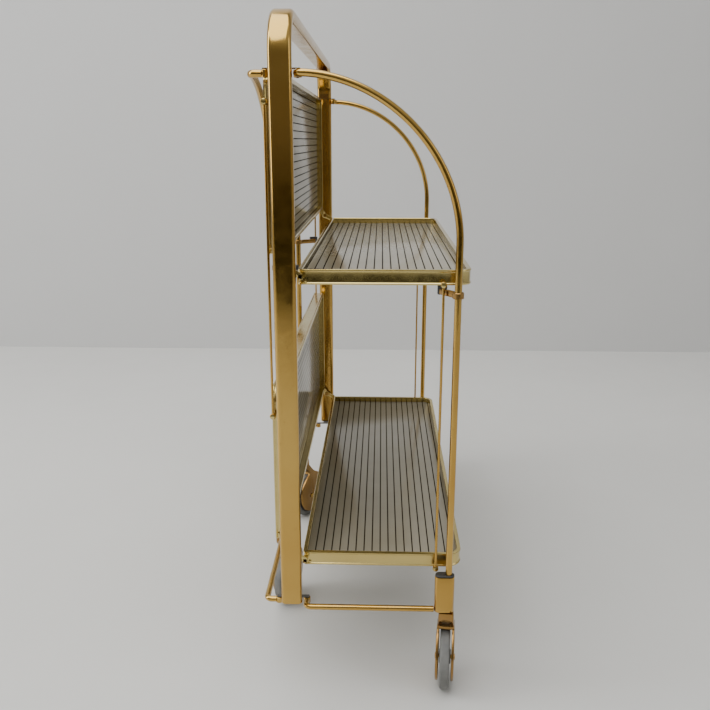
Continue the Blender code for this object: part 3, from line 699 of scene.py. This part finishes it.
def make_caster(end, side, swivel):
    name = f"caster_{end}_{side}"
    at = gate_matrix(side, end) @ Matrix.Translation((STEM_X, -GATE_Y, 0))
    move = Matrix.Translation(at.to_translation()) @ Matrix.Rotation(swivel, 4, "Z")

    def about_hub(points):
        return [(y - TRAIL, z + WHEEL_R) for y, z in points]

    # The fork narrows from its cheeks up to its neck, so its side outline is skinned at widths that vary by height.
    outline = about_hub(smoothed(FORK_SIDE, FORK_CORNERS))

    def half_width(z, edge):
        share = min(max((z - CHEEK_TOP) / (NECK_FOOT - CHEEK_TOP), 0.0), 1.0)
        share = share * share * (3 - 2 * share)
        return HOOD_HALF + (NECK_HALF - HOOD_HALF) * share - edge

    def layer(sign, edge, inset):
        ring = []
        for i, (y, z) in enumerate(outline):
            before, after = Vector(outline[i - 1]), Vector(outline[(i + 1) % len(outline)])
            along = (after - before).normalized()
            # The outline runs anticlockwise as (forward, up), so inward is to the left of its direction.
            y, z = y - along.y * inset, z + along.x * inset
            ring.append((sign * half_width(z, edge), y, z))
        return ring

    edges = ((0.0, 0.0012), (0.0003, 0.0005), (0.0008, 0.0001), (0.0014, 0.0))
    rings = [layer(-1, e, i) for e, i in edges] + [layer(1, e, i) for e, i in edges[::-1]]
    shell = skin(rings)
    slot = prism(about_hub(circle(HOOD_IN, 72)), "X", -HOOD_SLOT, HOOD_SLOT)
    axle_hole = turned((-TRAIL, WHEEL_R), "X", ((-0.02, AXLE_R + GAP), (0.02, AXLE_R + GAP)), 24)
    shell = bevel(cut(shell, [slot, axle_hole]), 0.0003, 2, 55)
    top, edge = BLOCK_BOTTOM + 0.0160, 0.0005
    stem = turned((0, 0), "Z", ((BLOCK_BOTTOM - 0.004, STEM_R), (top - edge, STEM_R), (top, STEM_R - edge)), 28)
    fork = f"{name}_fork"
    place(join([shell, stem]), f"{name}_fork_piece", BRONZE, fork, [fork], move, 40)

    to_hub = move @ Matrix.Translation((0, -TRAIL, WHEEL_R))
    rim = TYRE_IN - GAP
    half_profile = (
        (HUB_HALF, BORE_R), (HUB_HALF, 0.0076), (HUB_HALF - 0.0004, 0.0085), (0.0046, 0.0094),
        (WEB_HALF + 0.0003, 0.0112), (WEB_HALF, 0.0150), (WEB_HALF, 0.0225), (WEB_HALF + 0.0006, 0.0243),
        (TREAD_HALF - 0.0004, 0.0252), (TREAD_HALF, 0.0258), (TREAD_HALF, rim),
    )
    profile = [(-x, r) for x, r in half_profile] + [(x, r) for x, r in half_profile[::-1]]
    wheel = lathe(profile[::-1], 56)
    holes = []
    for k in range(WHEEL_HOLES):
        angle = 2 * math.pi * k / WHEEL_HOLES
        centre = (WHEEL_HOLE_AT * math.cos(angle), WHEEL_HOLE_AT * math.sin(angle))
        holes.append(turned(centre, "X", ((-0.01, WHEEL_HOLE_R), (0.01, WHEEL_HOLE_R)), 20))
    wheel = cut(wheel, holes)
    place(wheel, f"{name}_wheel_piece", DARK, f"{name}_wheel", [f"{name}_wheel"], to_hub, 34)

    half, crown = TYRE_HALF, WHEEL_R
    # A shallow groove runs round each side of the tyre.
    tread = [(half, TYRE_IN), (half, TYRE_IN + 0.0014), (half * 0.93, TYRE_IN + 0.0026)]
    tread.append((half * 0.96, TYRE_IN + 0.0040))
    for k in range(9):
        angle = math.radians(10 * k)
        tread.append((half * (0.55 + 0.45 * math.cos(angle)), crown - TREAD_R + TREAD_R * math.sin(angle)))
    tread.append((half * 0.30, crown))
    tyre = lathe(([(-x, r) for x, r in tread] + [(x, r) for x, r in tread[::-1]])[::-1], 72)
    place(tyre, f"{name}_tyre_piece", TYRE, f"{name}_wheel", [f"{name}_tyre"], to_hub, 34)

    pin = [turned((0, 0), "X", ((-HOOD_HALF - AXLE_OUT, AXLE_R), (HOOD_HALF + AXLE_OUT, AXLE_R)), 24)]
    for sx in (1, -1):
        cap = (
            (HOOD_HALF + GAP, AXLE_HEAD_R),
            (HOOD_HALF + 0.0007, AXLE_HEAD_R),
            (HOOD_HALF + 0.0011, AXLE_HEAD_R - 0.0006),
            (HOOD_HALF + 0.0013, 0.0018),
        )
        pin.append(turned((0, 0), "X", [(sx * w, r) for w, r in cap], 28))
    place(join(pin), f"{name}_axle_piece", GOLD, fork, [f"{name}_axle"], to_hub, 38)


SWIVEL = {("near", "right"): 174, ("far", "right"): 180, ("near", "left"): 163, ("far", "left"): 148}
for end in ("near", "far"):
    for side in ("right", "left"):
        make_link(end, side)
        make_gate(end, side)
        make_caster(end, side, math.radians(SWIVEL[end, side]))

# ---------------------------------------------------------------- CAD nodes that are shown as they are
for node, obj in frame["nodes"].items():
    if node.startswith(("top_bracket", "leaf_pin")):
        obj.data.materials.clear()
        obj.data.materials.append(BRONZE)
    if node.startswith("foot_"):
        obj.data.materials.clear()
        obj.data.materials.append(GREY)

# ---------------------------------------------------------------- floor, wall and light
FLOOR_Y, WALL_Y = -2.4, 1.285


def stage_material(name, light, dark, rough):
    made, tree, shader = new_material(name)
    coords = tree.nodes.new("ShaderNodeTexCoord").outputs["Object"]
    colour = ramp(tree, noise(tree, coords, 1.3, 5.0, 0.6), ((0.3, dark), (0.7, light)))
    tree.links.new(colour, shader.inputs["Base Color"])
    tree.links.new(remap(tree, noise(tree, coords, 9.0, 4.0), 0.3, 0.7, *rough), shader.inputs["Roughness"])
    return made


floor = skin([[(-6, FLOOR_Y, z), (6, FLOOR_Y, z), (6, WALL_Y, z), (-6, WALL_Y, z)] for z in (-0.02, 0.0)])
wall = skin([[(-6, y, 0.0005), (6, y, 0.0005), (6, y, 5.0), (-6, y, 5.0)] for y in (WALL_Y, WALL_Y + 0.02)])
floor.name, wall.name = "stage_floor", "stage_wall"
floor_mat = stage_material("pale_floor", (0.66, 0.655, 0.63), (0.62, 0.615, 0.59), (0.30, 0.42))
wall_mat = stage_material("pale_wall", (0.60, 0.60, 0.595), (0.58, 0.58, 0.575), (0.7, 0.8))
floor.data.materials.append(floor_mat)
wall.data.materials.append(wall_mat)


def softbox(name, place_at, look_at, size, power, colour=(1, 1, 1)):
    data = bpy.data.lights.new(name, "AREA")
    data.shape, data.size, data.size_y, data.energy, data.color = "RECTANGLE", *size, power, colour
    light = bpy.data.objects.new(name, data)
    light.location = place_at
    light.rotation_euler = (Vector(look_at) - Vector(place_at)).to_track_quat("-Z", "Y").to_euler()
    bpy.context.scene.collection.objects.link(light)


softbox("key_top", (-0.7, -0.6, 2.9), (0, 0.2, 0.2), (3.0, 3.0), 90)
softbox("left_window", (-2.6, -0.5, 1.4), (0, 0, 0.5), (0.9, 2.2), 34)
softbox("right_fill", (2.6, -1.2, 1.6), (0, 0, 0.5), (1.2, 1.6), 8)

world = bpy.data.worlds.new("studio")
bpy.context.scene.world = world
world.use_nodes = True
tree = world.node_tree
background = tree.nodes["Background"]
direction = tree.nodes.new("ShaderNodeTexCoord").outputs["Generated"]
split = tree.nodes.new("ShaderNodeSeparateXYZ")
tree.links.new(direction, split.inputs[0])
# Light overhead and toward the wall. Behind the camera a room, dim olive below the horizon.
height = remap(tree, split.outputs["Z"], 0.15, 0.75, 0.0, 1.0)
forward = remap(tree, split.outputs["Y"], -0.75, 0.35, 0.0, 1.0)
either = tree.nodes.new("ShaderNodeMath")
either.operation = "MAXIMUM"
tree.links.new(height, either.inputs[0])
tree.links.new(forward, either.inputs[1])
level = remap(tree, split.outputs["Z"], -0.25, 0.25, 0.0, 1.0)
room_stops = (
    (0.0, (0.03, 0.028, 0.012)),
    (0.38, (0.05, 0.045, 0.02)),
    (0.50, (0.30, 0.27, 0.23)),
    (1.0, (0.24, 0.22, 0.19)),
)
behind = ramp(tree, level, room_stops)
bright = ramp(tree, either.outputs[0], ((0.4, (0.42, 0.41, 0.39)), (1.0, (0.80, 0.80, 0.79))))
colour = mix(tree, remap(tree, either.outputs[0], 0.0, 0.55, 0.0, 1.0), behind, bright)
tree.links.new(colour, background.inputs["Color"])
background.inputs["Strength"].default_value = 0.75
